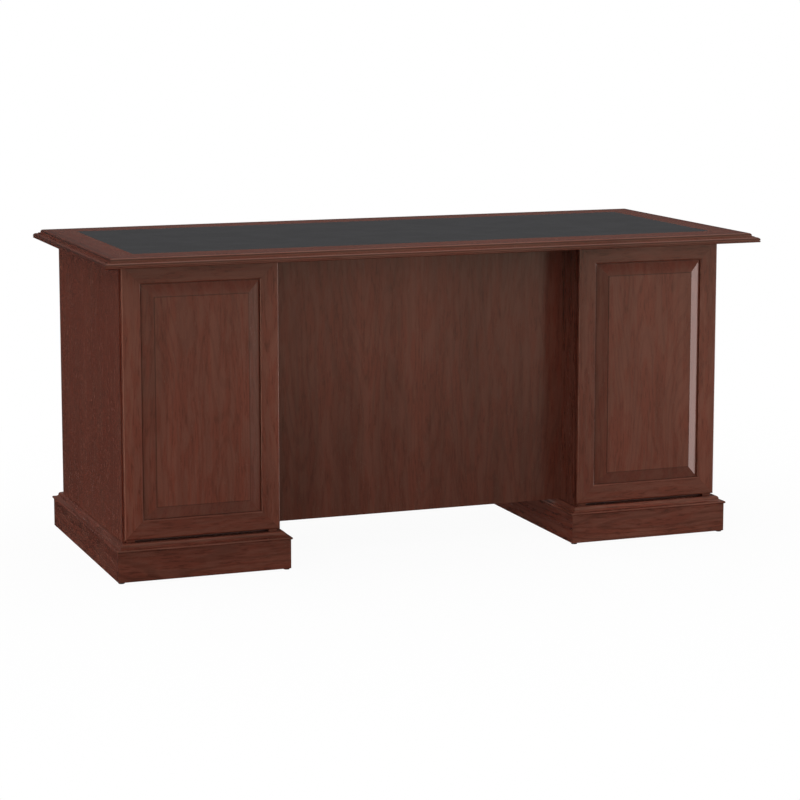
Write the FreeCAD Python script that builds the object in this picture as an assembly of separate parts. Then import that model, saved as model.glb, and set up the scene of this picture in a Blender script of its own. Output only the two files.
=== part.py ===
"""Double-pedestal executive desk with a moulded top, panelled pedestals and seven drawers.

Millimetres. X runs across the desk, -Y faces the visitor, +Y faces the user and Z is up.
The origin is on the floor, under the middle of the top.
"""
import FreeCAD, Part
import math
import os

Vector = FreeCAD.Vector

# Whole desk
desk_width = 1660.0
desk_depth = 748.0
desk_height = 768.0
cut_overrun = 5.0
joint_clearance = 0.3

# Moulded edge of the top, from the upper arris outwards and down
edge_round_radius = 6.0
edge_fillet_drop = 2.0
edge_ledge_width = 5.0
edge_step_drop = 2.0
edge_flat_width = 4.0
edge_nose_radius = 7.0
edge_undercut = 2.0
edge_undercut_drop = 1.0
edge_bead_radius = 2.0
edge_inboard_width = 14.0

# Writing inlay, let into the veneered core
inlay_border_at_sides = 68.0
inlay_border_at_ends = 79.0
inlay_thickness = 1.6

# Pedestal carcasses
pedestal_width = 379.0
top_overhang_at_sides = 63.0
top_overhang_at_visitor = 107.0
top_overhang_at_user = 11.0
side_thickness = 20.0
bottom_thickness = 16.0
stretcher_width = 60.0
stretcher_thickness = 18.0

# Framed and fielded panels on the visitor's side
frame_thickness = 22.0
frame_member_width = 46.0
frame_gap_above_plinth = 6.0
frame_gap_under_top = 4.0
frame_outer_radius = 4.0
frame_inner_radius = 3.5
frame_lip_thickness = 8.0
frame_rabbet_depth = 6.0
panel_gap = 1.0
panel_foot_setback = 5.0
panel_bevel_width = 29.0
panel_bevel_drop = 12.0
panel_shoulder = 1.5
panel_tongue_setback = 6.0
panel_tongue_thickness = 6.0
panel_tongue_length = 6.0

# Plinths
glide_height = 3.0
glide_foot_radius = 7.0
glide_head_radius = 8.5
plinth_board_height = 70.0
plinth_board_thickness = 18.0
plinth_projection_at_sides = 21.0
plinth_projection_at_visitor = 18.0
plinth_projection_at_user = 16.0
cap_ovolo_radius = 6.5
cap_fillet_drop = 1.5
cap_cove_width = 10.0
cap_cove_drop = 4.0
cap_cove_sag = 1.2
cap_nose_radius = 3.0
cap_overhang = 3.5

# Kneehole
modesty_setback = 104.0
modesty_thickness = 16.0
rail_height = 18.0
rail_thickness = 12.0
bracket_leg = 32.0
bracket_width = 20.0
bracket_thickness = 2.0
bracket_top_share = 0.45
bracket_side_shares = (0.25, 0.75)

# Drawer fronts
drawer_gap = 3.0
front_thickness = 19.0
front_side_gap = 1.5
front_back_gap = 2.0
front_margin = 3.0
front_bevel_width = 11.0
front_bevel_drop = 3.0
front_shoulder = 1.0
small_front_height = 156.0
centre_front_height = 88.0

# Drawer boxes
board_thickness = 12.0
base_thickness = 6.0
base_rise = 10.0
base_groove_depth = 5.0
pedestal_box_rear_space = 79.0
small_box_rise = 14.0
small_box_headroom = 42.0
file_box_rise = 23.0
file_box_headroom = 58.0
centre_box_rear_space = 91.0
centre_box_rise = 10.0
centre_box_headroom = 28.0
folder_rail_height = 14.0
folder_rail_wall = 1.2
folder_rail_inset = 20.0

# Telescopic slides
slide_space = 13.0
slide_wall = 1.2
light_slide_height = 35.0
heavy_slide_height = 45.0
small_slide_setback = 60.0
small_slide_rise = 30.0
file_slide_setback = 10.0
file_slide_rise = 60.0
centre_slide_setback = 50.0
centre_slide_rise = 25.0

# Cast pulls
pull_span = 96.0
pull_projection = 27.0
pull_grip_depth = 8.0
pull_grip_height = 11.0
pull_foot_height = 6.0
pull_foot_radius = 9.5
pull_neck_radius = 6.5
pull_root_height = 4.0
centre_pull_spacing = 400.0

# Cam lock of the centre drawer
lock_collar_radius = 12.0
lock_collar_thickness = 1.5
lock_barrel_radius = 9.0
lock_barrel_tail = 4.0
lock_plug_radius = 6.0
lock_running_clearance = 0.1
lock_slot_width = 1.6
lock_slot_height = 7.0
lock_slot_depth = 5.0
cam_reach = 36.0
cam_width = 12.0
cam_thickness = 3.0

# Heights and planes that the pieces share
edge_overhang = edge_round_radius + edge_ledge_width + edge_flat_width + edge_nose_radius
edge_upper_drop = edge_round_radius + edge_fillet_drop + edge_step_drop
edge_lower_drop = edge_nose_radius + edge_undercut_drop + 2 * edge_bead_radius
top_thickness = edge_upper_drop + edge_lower_drop
top_underside = desk_height - top_thickness
cap_height = cap_ovolo_radius + cap_fillet_drop + cap_cove_drop + 2 * cap_nose_radius
plinth_top = glide_height + plinth_board_height + cap_height
visitor_face = -desk_depth / 2 + top_overhang_at_visitor
carcass_front = visitor_face + frame_thickness
user_face = desk_depth / 2 - top_overhang_at_user
front_back_face = user_face - front_thickness
carcass_back = front_back_face - front_back_gap
pedestal_centre = desk_width / 2 - top_overhang_at_sides - pedestal_width / 2
kneehole_half = pedestal_centre - pedestal_width / 2
modesty_back = visitor_face + modesty_setback + modesty_thickness
pedestal_box_depth = front_back_face - carcass_front - pedestal_box_rear_space
centre_box_depth = front_back_face - modesty_back - centre_box_rear_space

# Turns that face a flat piece to the visitor or to the user
facing_visitor = FreeCAD.Rotation(Vector(1, 0, 0), 90)
facing_user = FreeCAD.Rotation(Vector(0, 0, 1), 180).multiply(facing_visitor)
upright = FreeCAD.Rotation()

nodes = {}


def block(x0, x1, y0, y1, z0, z1):
    """Solid block between two opposite corners."""
    return Part.makeBox(x1 - x0, y1 - y0, z1 - z0, Vector(x0, y0, z0))


def placed(shape, x, y, z, rotation=upright):
    """Copy of a shape, turned and moved to its place."""
    return shape.transformed(FreeCAD.Placement(Vector(x, y, z), rotation).toMatrix(), True)


def rounded(centre, start, end):
    """Move along the short arc about centre that leads from start to end."""
    radius = math.dist(centre, start)
    middle = ((start[0] + end[0]) / 2 - centre[0], (start[1] + end[1]) / 2 - centre[1])
    reach = radius / math.hypot(middle[0], middle[1])
    through = (centre[0] + middle[0] * reach, centre[1] + middle[1] * reach)
    return (through, end)


def section(start, *moves):
    """Face in the XZ plane. A move is a point to draw a line to, or the two points of an arc."""
    here = Vector(start[0], 0, start[1])
    edges = []
    for move in moves + (start,):
        if isinstance(move[0], tuple):
            through, end = [Vector(x, 0, z) for x, z in move]
            edges.append(Part.Arc(here, through, end).toShape())
        else:
            end = Vector(move[0], 0, move[1])
            edges.append(Part.makeLine(here, end))
        here = end
    return Part.Face(Part.Wire(edges))


def rectangle(width, height, z):
    """Closed outline of a centred rectangle at height z."""
    x, y = width / 2, height / 2
    corners = [Vector(-x, -y, z), Vector(x, -y, z), Vector(x, y, z), Vector(-x, y, z)]
    return Part.makePolygon(corners + corners[:1])


def mitred_frame(width, length, profile):
    """Four members of one profile round a rectangle, mitred where they meet.

    The profile's x runs outwards from the rectangle's line and its z is the height.
    """
    extent = profile.BoundBox
    inner = extent.XMin - cut_overrun
    outer = extent.XMax + cut_overrun
    members = []
    for quarter in range(4):
        across, along = (width, length) if quarter % 2 == 0 else (length, width)
        run = along + 2 * outer
        bar = placed(profile.extrude(Vector(0, run, 0)), across / 2, -run / 2, 0)
        corners = []
        for u, side in ((inner, -1), (outer, -1), (outer, 1), (inner, 1)):
            corners.append(Vector(across / 2 + u, side * (along / 2 + u), extent.ZMin - cut_overrun))
        wedge = Part.Face(Part.makePolygon(corners + corners[:1]))
        wedge = wedge.extrude(Vector(0, 0, extent.ZLength + 2 * cut_overrun))
        member = bar.common(wedge).Solids[0]
        member.rotate(Vector(0, 0, 0), Vector(0, 0, 1), 90 * quarter)
        members.append(member)
    return members


def fielded_slab(width, height, margin, edge, bevel_width, bevel_drop, shoulder):
    """Slab whose middle rises over a bevel and a small shoulder, lying on its back."""
    skirt_width, skirt_height = width - 2 * margin, height - 2 * margin
    field_width, field_height = skirt_width - 2 * bevel_width, skirt_height - 2 * bevel_width
    field_level = edge + bevel_drop
    slab = block(-width / 2, width / 2, -height / 2, height / 2, 0, edge)
    skirt = rectangle(skirt_width, skirt_height, edge)
    crown = rectangle(field_width, field_height, field_level)
    bevel = Part.makeLoft([skirt, crown], True, True)
    field = Part.Face(crown).extrude(Vector(0, 0, shoulder))
    return slab.fuse([bevel, field]).removeSplitter()


def make_top():
    """Veneered core, mitred moulded edges and the inlay of the writing surface."""
    shelf = top_thickness - edge_round_radius
    ledge = shelf - edge_fillet_drop
    step = ledge - edge_step_drop
    nose = step - edge_nose_radius
    bead = 2 * edge_bead_radius
    riser = edge_round_radius + edge_ledge_width
    throat = edge_overhang - edge_undercut
    flat_end = edge_overhang - edge_nose_radius
    bead_tip = (throat + edge_bead_radius, edge_bead_radius)
    bead_centre = (throat, edge_bead_radius)
    profile = section(
        (-edge_inboard_width, 0),
        (-edge_inboard_width, top_thickness),
        (0, top_thickness),
        rounded((0, shelf), (0, top_thickness), (edge_round_radius, shelf)),
        (edge_round_radius, ledge),
        (riser, ledge),
        (riser, step),
        (flat_end, step),
        rounded((flat_end, nose), (flat_end, step), (edge_overhang, nose)),
        (throat, nose),
        (throat, bead),
        rounded(bead_centre, (throat, bead), bead_tip),
        rounded(bead_centre, bead_tip, (throat, 0)),
    )
    arris_width = desk_width - 2 * edge_overhang
    arris_depth = desk_depth - 2 * edge_overhang
    names = ("top_right_edge", "top_back_edge", "top_left_edge", "top_front_edge")
    for name, member in zip(names, mitred_frame(arris_width, arris_depth, profile)):
        nodes[name] = placed(member, 0, 0, top_underside)

    core_x = arris_width / 2 - edge_inboard_width
    core_y = arris_depth / 2 - edge_inboard_width
    inlay_x = arris_width / 2 - inlay_border_at_sides
    inlay_y = arris_depth / 2 - inlay_border_at_ends
    inlay_bed = desk_height - inlay_thickness
    core = block(-core_x, core_x, -core_y, core_y, top_underside, desk_height)
    recess = block(-inlay_x, inlay_x, -inlay_y, inlay_y, inlay_bed, desk_height + cut_overrun)
    nodes["top_core_panel"] = core.cut(recess)
    leaf_x = inlay_x - joint_clearance
    leaf_y = inlay_y - joint_clearance
    nodes["writing_inlay"] = block(-leaf_x, leaf_x, -leaf_y, leaf_y, inlay_bed, desk_height)


def make_carcass(name, sign):
    """Two sides and the bottom of one pedestal. Its stretchers are returned."""
    centre = sign * pedestal_centre
    reach = pedestal_width / 2
    wall = reach - side_thickness
    for side, way in (("outer", sign), ("inner", -sign)):
        near, far = sorted((centre + way * wall, centre + way * reach))
        panel = block(near, far, carcass_front, user_face, plinth_top, top_underside)
        nodes[f"{name}_{side}_side"] = panel
    floor = plinth_top + bottom_thickness
    nodes[f"{name}_bottom_panel"] = block(
        centre - wall, centre + wall, carcass_front, carcass_back, plinth_top, floor)
    stretchers = []
    for start in (carcass_front, carcass_back - stretcher_width):
        stretchers.append(block(
            centre - wall, centre + wall, start, start + stretcher_width,
            top_underside - stretcher_thickness, top_underside))
    return stretchers


def make_panelled_front(name, sign):
    """Mitred frame and fielded panel on the visitor's side of one pedestal. The field stands proud."""
    bottom = plinth_top + frame_gap_above_plinth
    top = top_underside - frame_gap_under_top
    height = top - bottom
    lip = frame_thickness - frame_lip_thickness
    outer_top = (-frame_outer_radius, frame_thickness)
    outer_side = (0, frame_thickness - frame_outer_radius)
    inner_top = (frame_inner_radius - frame_member_width, frame_thickness)
    inner_side = (-frame_member_width, frame_thickness - frame_inner_radius)
    groove_floor = panel_tongue_length + joint_clearance - frame_member_width
    groove_front = frame_thickness - panel_tongue_setback + joint_clearance
    groove_back = groove_front - panel_tongue_thickness - 2 * joint_clearance
    profile = section(
        (-frame_rabbet_depth, 0),
        (-frame_rabbet_depth, lip),
        (0, lip),
        outer_side,
        rounded((outer_top[0], outer_side[1]), outer_side, outer_top),
        inner_top,
        rounded((inner_top[0], inner_side[1]), inner_top, inner_side),
        (-frame_member_width, groove_front),
        (groove_floor, groove_front),
        (groove_floor, groove_back),
        (-frame_member_width, groove_back),
        (-frame_member_width, 0),
    )
    place = (sign * pedestal_centre, carcass_front, (bottom + top) / 2, facing_visitor)
    members = mitred_frame(pedestal_width, height, profile)
    nodes[f"{name}_panel_frame"] = Part.makeCompound([placed(member, *place) for member in members])

    opening_width = pedestal_width - 2 * frame_member_width
    opening_height = height - 2 * frame_member_width
    tongue_x = opening_width / 2 + panel_tongue_length
    tongue_y = opening_height / 2 + panel_tongue_length
    tongue = block(-tongue_x, tongue_x, -tongue_y, tongue_y, 0, panel_tongue_thickness)
    raised = fielded_slab(
        opening_width - 2 * panel_gap, opening_height - 2 * panel_gap, 0,
        panel_tongue_setback - panel_foot_setback, panel_bevel_width, panel_bevel_drop, panel_shoulder)
    panel = tongue.fuse(placed(raised, 0, 0, panel_tongue_thickness)).removeSplitter()
    panel_back = carcass_front - groove_back - joint_clearance
    nodes[f"{name}_raised_panel"] = placed(panel, place[0], panel_back, place[2], facing_visitor)


def make_plinth(name, sign):
    """Mitred boards and moulded cap under one pedestal. Its four glides are returned."""
    front = visitor_face - plinth_projection_at_visitor
    back = user_face + plinth_projection_at_user
    width = pedestal_width + 2 * plinth_projection_at_sides
    length = back - front
    centre_x = sign * pedestal_centre
    centre_y = (front + back) / 2
    board = section(
        (-plinth_board_thickness, 0),
        (0, 0),
        (0, plinth_board_height),
        (-plinth_board_thickness, plinth_board_height),
    )
    boards = [placed(member, centre_x, centre_y, glide_height)
              for member in mitred_frame(width, length, board)]
    nodes[f"{name}_plinth_boards"] = Part.makeCompound(boards)

    cap_inner = -plinth_projection_at_sides - side_thickness
    nose_centre = (cap_overhang - cap_nose_radius, cap_nose_radius)
    nose_bottom = (nose_centre[0], 0)
    nose_tip = (cap_overhang, cap_nose_radius)
    nose_top = (nose_centre[0], 2 * cap_nose_radius)
    cove_top = (nose_top[0] - cap_cove_width, nose_top[1] + cap_cove_drop)
    cove_middle = ((nose_top[0] + cove_top[0]) / 2, (nose_top[1] + cove_top[1]) / 2 - cap_cove_sag)
    ovolo_foot = (cove_top[0], cove_top[1] + cap_fillet_drop)
    ovolo_top = (ovolo_foot[0] - cap_ovolo_radius, cap_height)
    profile = section(
        (cap_inner, 0),
        nose_bottom,
        rounded(nose_centre, nose_bottom, nose_tip),
        rounded(nose_centre, nose_tip, nose_top),
        (cove_middle, cove_top),
        ovolo_foot,
        rounded((ovolo_top[0], ovolo_foot[1]), ovolo_foot, ovolo_top),
        (cap_inner, cap_height),
    )
    cap_base = glide_height + plinth_board_height
    caps = [placed(member, centre_x, centre_y, cap_base)
            for member in mitred_frame(width, length, profile)]
    nodes[f"{name}_plinth_cap"] = Part.makeCompound(caps)

    inset = plinth_board_thickness / 2
    glides = []
    for x in (inset - width / 2, width / 2 - inset):
        for y in (inset - length / 2, length / 2 - inset):
            foot = Vector(centre_x + x, centre_y + y, 0)
            glides.append(Part.makeCone(glide_foot_radius, glide_head_radius, glide_height, foot))
    return glides


def make_kneehole():
    """Modesty panel, rail behind the centre drawer and the brackets in the corners."""
    front = visitor_face + modesty_setback
    nodes["modesty_panel"] = block(
        -kneehole_half, kneehole_half, front, modesty_back, plinth_top, top_underside)
    nodes["kneehole_rail"] = block(
        -kneehole_half, kneehole_half, carcass_back - rail_thickness, carcass_back,
        top_underside - rail_height, top_underside)
    angle = section(
        (0, 0),
        (bracket_leg, 0),
        (bracket_leg, bracket_thickness),
        (bracket_thickness, bracket_thickness),
        (bracket_thickness, bracket_leg),
        (0, bracket_leg),
    )
    bracket = placed(angle.extrude(Vector(0, bracket_width, 0)), 0, -bracket_width / 2, 0)
    under_top = FreeCAD.Rotation(Vector(0, 1, 0), Vector(1, 0, 0), Vector(0, 0, -1))
    brackets = []
    for sign in (-1, 1):
        brackets.append(placed(
            bracket, sign * bracket_top_share * kneehole_half, modesty_back, top_underside, under_top))
        in_corner = FreeCAD.Rotation(Vector(-sign, 0, 0), Vector(0, 0, sign), Vector(0, 1, 0))
        for share in bracket_side_shares:
            height = plinth_top + share * (top_underside - plinth_top)
            brackets.append(placed(bracket, sign * kneehole_half, modesty_back, height, in_corner))
    nodes["corner_brackets"] = Part.makeCompound(brackets)


def channel(near, far, half_height, web_is_near, length):
    """Length of pressed channel along Y. Its flanges run from near to far, its web closes one end."""
    inner = half_height - slide_wall
    web, mouth = (near, far) if web_is_near else (far, near)
    web_face = web + slide_wall if web_is_near else web - slide_wall
    profile = section(
        (web, -half_height),
        (mouth, -half_height),
        (mouth, -inner),
        (web_face, -inner),
        (web_face, inner),
        (mouth, inner),
        (mouth, half_height),
        (web, half_height),
    )
    return profile.extrude(Vector(0, length, 0))


def make_slides(centre, opening, height, start, slide_height, length, extra_member):
    """Case, intermediate and drawer members of the pair of slides of one drawer."""
    step = slide_wall + joint_clearance
    half = slide_height / 2
    profiles = [(0, slide_space - 3 * slide_wall, half, True)]
    if extra_member:
        profiles.append((step, slide_space - 2 * slide_wall, half - step, True))
    depth = len(profiles) * step
    profiles.append((depth, slide_space, half - depth, False))
    members = []
    for profile in profiles:
        right_hand = channel(*profile, length)
        left_hand = right_hand.mirror(Vector(0, 0, 0), Vector(1, 0, 0))
        members.append([
            placed(right_hand, centre - opening / 2, start, height),
            placed(left_hand, centre + opening / 2, start, height),
        ])
    return members


def make_box(centre, width, depth, bottom, height):
    """Five boards of a drawer box, the base let into grooves in the others."""
    outer = width / 2
    inner = outer - board_thickness
    front = front_back_face
    back = front - depth
    top = bottom + height
    base_bottom = bottom + base_rise
    base_top = base_bottom + base_thickness
    lap = base_groove_depth - joint_clearance
    base = block(
        centre - inner - lap, centre + inner + lap,
        back + board_thickness - lap, front - board_thickness + lap, base_bottom, base_top)
    groove = block(
        centre - inner - base_groove_depth, centre + inner + base_groove_depth,
        back + board_thickness - base_groove_depth, front - board_thickness + base_groove_depth,
        base_bottom, base_top)
    boards = [
        block(centre - outer, centre - inner, back, front, bottom, top),
        block(centre + inner, centre + outer, back, front, bottom, top),
        block(centre - inner, centre + inner, front - board_thickness, front, bottom, top),
        block(centre - inner, centre + inner, back, back + board_thickness, bottom, top),
    ]
    return [board.cut(groove) for board in boards] + [base]


def make_pull(x, z):
    """Arched cast pull: a bow of oval section that springs from two tapered feet."""
    crown = pull_projection - pull_grip_depth / 2
    rise = crown - pull_root_height
    radius = ((pull_span / 2) ** 2 + rise ** 2) / (2 * rise)
    sweep = math.degrees(math.asin(pull_span / 2 / radius))
    hub = Vector(0, crown - radius, 0)
    oval = Part.Ellipse(
        Vector(0, crown, pull_grip_height / 2), Vector(0, crown + pull_grip_depth / 2, 0), Vector(0, crown, 0))
    bow = Part.Face(Part.Wire(oval.toShape()))
    bow.rotate(hub, Vector(0, 0, 1), -sweep)
    parts = [bow.revolve(hub, Vector(0, 0, 1), 2 * sweep)]
    for side in (-pull_span / 2, pull_span / 2):
        parts.append(Part.makeCone(
            pull_foot_radius, pull_neck_radius, pull_foot_height, Vector(side, 0, 0), Vector(0, 1, 0)))
    pull = parts[0].fuse(parts[1:]).removeSplitter().Solids[0]
    return placed(pull, x, user_face, z)


def make_folder_rails(centre, width, depth, top):
    """Pressed caps on the side boards of a file drawer, on which hanging folders ride."""
    outer = board_thickness / 2 + joint_clearance + folder_rail_wall
    inner = outer - folder_rail_wall
    skirt = folder_rail_wall - folder_rail_height
    profile = section(
        (-outer, skirt),
        (-inner, skirt),
        (-inner, 0),
        (inner, 0),
        (inner, skirt),
        (outer, skirt),
        (outer, folder_rail_wall),
        (-outer, folder_rail_wall),
    )
    rail = profile.extrude(Vector(0, depth - 2 * folder_rail_inset, 0))
    start = front_back_face - depth + folder_rail_inset
    reach = width / 2 - board_thickness / 2
    return [placed(rail, centre + side * reach, start, top) for side in (-1, 1)]


def make_drawer(name, centre, opening, front_bottom, front_height, style):
    """Front, box, pulls and slides of one drawer. Its fixed slide members are returned."""
    width = opening - 2 * slide_space
    depth = style["box_depth"]
    box_bottom = front_bottom + style["box_rise"]
    box_height = front_height - style["box_rise"] - style["box_headroom"]
    slide_length = depth - style["slide_setback"]
    edge = front_thickness - front_bevel_drop - front_shoulder
    front = fielded_slab(
        opening - 2 * front_side_gap, front_height, front_margin, edge,
        front_bevel_width, front_bevel_drop, front_shoulder)
    front = placed(front, centre, front_back_face, front_bottom + front_height / 2, facing_user)
    nodes[f"{name}_front"] = front
    boards = make_box(centre, width, depth, box_bottom, box_height)
    nodes[f"{name}_box"] = Part.makeCompound(boards)
    pull_height = front_bottom + front_height - min(front_height, small_front_height) / 2
    pulls = [make_pull(centre + offset, pull_height) for offset in style["pull_offsets"]]
    nodes[f"{name}_pull"] = Part.makeCompound(pulls)
    members = make_slides(
        centre, opening, box_bottom + style["slide_rise"], carcass_back - slide_length,
        style["slide_height"], slide_length, style["holds_folders"])
    nodes[f"{name}_runners"] = Part.makeCompound(members[-1])
    if style["holds_folders"]:
        nodes[f"{name}_slide_links"] = Part.makeCompound(members[1])
        rails = make_folder_rails(centre, width, depth, box_bottom + box_height)
        nodes[f"{name}_folder_rails"] = Part.makeCompound(rails)
    return members[0]


def make_lock(height):
    """Barrel and turning plug of the cam lock, bored through the front of the centre drawer."""
    tail = front_back_face - board_thickness - lock_barrel_tail
    along = Vector(0, 1, 0)
    bore = Part.makeCylinder(
        lock_barrel_radius + joint_clearance, front_thickness + board_thickness + 2 * cut_overrun,
        Vector(0, front_back_face - board_thickness - cut_overrun, height), along)
    nodes["centre_drawer_front"] = nodes["centre_drawer_front"].cut(bore)
    boards = [board.cut(bore) for board in nodes["centre_drawer_box"].Solids]
    nodes["centre_drawer_box"] = Part.makeCompound(boards)

    barrel = Part.makeCylinder(lock_barrel_radius, user_face - tail, Vector(0, tail, height), along)
    collar = Part.makeCone(
        lock_collar_radius, lock_barrel_radius, lock_collar_thickness, Vector(0, user_face, height), along)
    keyway = Part.makeCylinder(
        lock_plug_radius + lock_running_clearance, user_face - tail + 2 * cut_overrun,
        Vector(0, tail - cut_overrun, height), along)
    nodes["lock_barrel"] = barrel.fuse(collar).removeSplitter().cut(keyway)

    cam_front = tail - joint_clearance
    cam_back = cam_front - cam_thickness
    face = user_face + lock_collar_thickness
    plug = Part.makeCylinder(lock_plug_radius, face - cam_back, Vector(0, cam_back, height), along)
    slot = block(
        -lock_slot_width / 2, lock_slot_width / 2, face - lock_slot_depth, face + cut_overrun,
        height - lock_slot_height / 2, height + lock_slot_height / 2)
    half = cam_width / 2
    tip = half - cam_reach
    cam = section(
        (0, -half),
        ((half, 0), (0, half)),
        (tip, half),
        ((-cam_reach, 0), (tip, -half)),
    )
    cam = placed(cam.extrude(Vector(0, cam_thickness, 0)), 0, cam_back, height)
    nodes["lock_plug"] = plug.cut(slot).fuse(cam).removeSplitter().Solids[0]


def make_drawers():
    """Three drawers in each pedestal, and the locking centre drawer over the kneehole."""
    small = {
        "box_rise": small_box_rise, "box_headroom": small_box_headroom, "box_depth": pedestal_box_depth,
        "slide_height": light_slide_height, "slide_setback": small_slide_setback,
        "slide_rise": small_slide_rise, "holds_folders": False, "pull_offsets": (0,),
    }
    file = {
        "box_rise": file_box_rise, "box_headroom": file_box_headroom, "box_depth": pedestal_box_depth,
        "slide_height": heavy_slide_height, "slide_setback": file_slide_setback,
        "slide_rise": file_slide_rise, "holds_folders": True, "pull_offsets": (0,),
    }
    centre = {
        "box_rise": centre_box_rise, "box_headroom": centre_box_headroom, "box_depth": centre_box_depth,
        "slide_height": light_slide_height, "slide_setback": centre_slide_setback,
        "slide_rise": centre_slide_rise, "holds_folders": False,
        "pull_offsets": (-centre_pull_spacing / 2, centre_pull_spacing / 2),
    }
    upper_bottom = top_underside - drawer_gap - small_front_height
    middle_bottom = upper_bottom - drawer_gap - small_front_height
    file_bottom = plinth_top + drawer_gap
    file_front_height = middle_bottom - drawer_gap - file_bottom
    opening = pedestal_width - 2 * side_thickness
    fixed = []
    for name, sign in (("left", -1), ("right", 1)):
        place = (sign * pedestal_centre, opening)
        fixed += make_drawer(f"{name}_upper_drawer", *place, upper_bottom, small_front_height, small)
        fixed += make_drawer(f"{name}_middle_drawer", *place, middle_bottom, small_front_height, small)
        fixed += make_drawer(f"{name}_file_drawer", *place, file_bottom, file_front_height, file)
    centre_bottom = top_underside - drawer_gap - centre_front_height
    fixed += make_drawer(
        "centre_drawer", 0, 2 * kneehole_half, centre_bottom, centre_front_height, centre)
    make_lock(centre_bottom + centre_front_height / 2)
    nodes["slide_case_members"] = Part.makeCompound(fixed)


def main():
    make_top()
    stretchers = []
    glides = []
    for name, sign in (("left", -1), ("right", 1)):
        stretchers += make_carcass(name, sign)
        make_panelled_front(name, sign)
        glides += make_plinth(name, sign)
    nodes["top_stretchers"] = Part.makeCompound(stretchers)
    nodes["floor_glides"] = Part.makeCompound(glides)
    make_kneehole()
    make_drawers()
    os.makedirs("parts", exist_ok=True)
    for name, shape in nodes.items():
        shape.exportStep(f"parts/{name}.step")


main()
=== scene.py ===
"""Finish, small fasteners and studio for a double-pedestal executive desk, laid out as a Blender add-on."""
import math
import bmesh
import bpy
from bpy.props import FloatProperty, FloatVectorProperty, PointerProperty
from mathutils import Matrix, Vector


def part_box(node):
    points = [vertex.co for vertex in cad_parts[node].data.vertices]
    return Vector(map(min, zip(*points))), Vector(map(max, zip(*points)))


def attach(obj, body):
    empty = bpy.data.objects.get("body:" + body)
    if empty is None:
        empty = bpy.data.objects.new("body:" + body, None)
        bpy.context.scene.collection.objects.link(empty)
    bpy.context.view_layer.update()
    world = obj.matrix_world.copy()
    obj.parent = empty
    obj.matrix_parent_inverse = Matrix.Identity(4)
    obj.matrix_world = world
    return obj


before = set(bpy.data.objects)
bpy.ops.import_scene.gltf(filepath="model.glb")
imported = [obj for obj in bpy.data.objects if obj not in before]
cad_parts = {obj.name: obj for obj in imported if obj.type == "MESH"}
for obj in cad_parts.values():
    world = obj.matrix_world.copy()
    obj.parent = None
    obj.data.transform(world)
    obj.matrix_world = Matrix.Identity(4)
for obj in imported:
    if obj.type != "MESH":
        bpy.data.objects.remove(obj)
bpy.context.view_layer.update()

bl_info = {
    "name": "Executive desk",
    "version": (1, 0, 0),
    "blender": (4, 5, 0),
    "location": "View3D > Sidebar > Desk",
    "description": "Cherry, leather and metal finishes, fasteners and a studio for an executive desk",
    "category": "Object",
}

SIDES = ("left", "right")
DRAWERS = (
    *(f"{side}_{place}_drawer" for side in SIDES for place in ("upper", "middle", "file")),
    "centre_drawer",
)

# Boxes of the CAD, in metres
TOP_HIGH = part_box("top_core_panel")[1]
INLAY_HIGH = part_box("writing_inlay")[1]
FRAME_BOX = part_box("right_panel_frame")
PANEL_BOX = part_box("right_raised_panel")
PLINTH_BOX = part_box("right_plinth_boards")
PEDESTAL_X = (FRAME_BOX[0].x + FRAME_BOX[1].x) / 2

# Lengths that the boxes don't tell, in metres
PANEL_MARGIN = 0.036
PANEL_FOOT = 0.0066
FRAME_LIP = 0.008
RABBET = 0.006
RABBET_BLOCK = 0.02
BLOCK_EASE = 0.0004
BRACKET_GAUGE = 0.002
PULL_FOOT = 0.0095
PULL_SPAN = 0.096
BOX_BOARD = 0.012

# Screws: radius and height of their heads, and where they stand along the brackets
BRACKET_SCREW = (0.0036, 0.0018)
PULL_SCREW = (0.0042, 0.0024)
BRACKET_TOP_SHARE = 0.45
BRACKET_SIDE_SHARES = (0.25, 0.75)
SCREW_SMOOTH_ANGLE = math.radians(35)

# Cherry: lines run from full strength to none over two distances, in metres
# Painted shade: reach of the dark lines round the raised panels
QUIRK_SHADE_REACH = (0.0006, 0.0014)
SHADE_LINE_REACH = (0.0008, 0.0022)
# Painted shade: heights of the two dark lines along the top's moulded edges
EDGE_SHADE_LINES = (TOP_HIGH.z - 0.0033, TOP_HIGH.z - 0.0132)
BEVEL_BLEND = 0.0004
# Painted shade: heights over which the modesty panel goes from darker near the floor to its full tone
FOOT_SHADE_HEIGHTS = (0.2, 0.62)
JOINT_SHARE = 0.25
# Share of the painted sheen on the level bevels
PAINTED_SHEEN_SHARE = 0.2
FRAME_TONE = 1.07
LACQUER_TINT = (1.0, 0.81, 0.62, 1)

# Wood grain: cells per metre across and along the grain, and each mark's share of the dark colour
GRAIN_CELLS = {
    "sway": (7, 7, 2.6), "band": (22, 22, 1.0), "streak": (95, 95, 4.5), "fibre": (1100, 1100, 30),
    "pores": (1600, 1600, 80), "patch": (60, 60, 10), "fleck": (300, 300, 34), "blush": (3.2, 3.2, 1.5),
    "rings": (9, 9, 1.0),
}
STREAK_SHARE, FLECK_SHARE, FIGURE_SHARE, PORE_SHARE = 0.13, 0.32, 0.12, 0.2
SWAY = 0.03
RING_COUNT = 130.0

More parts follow.
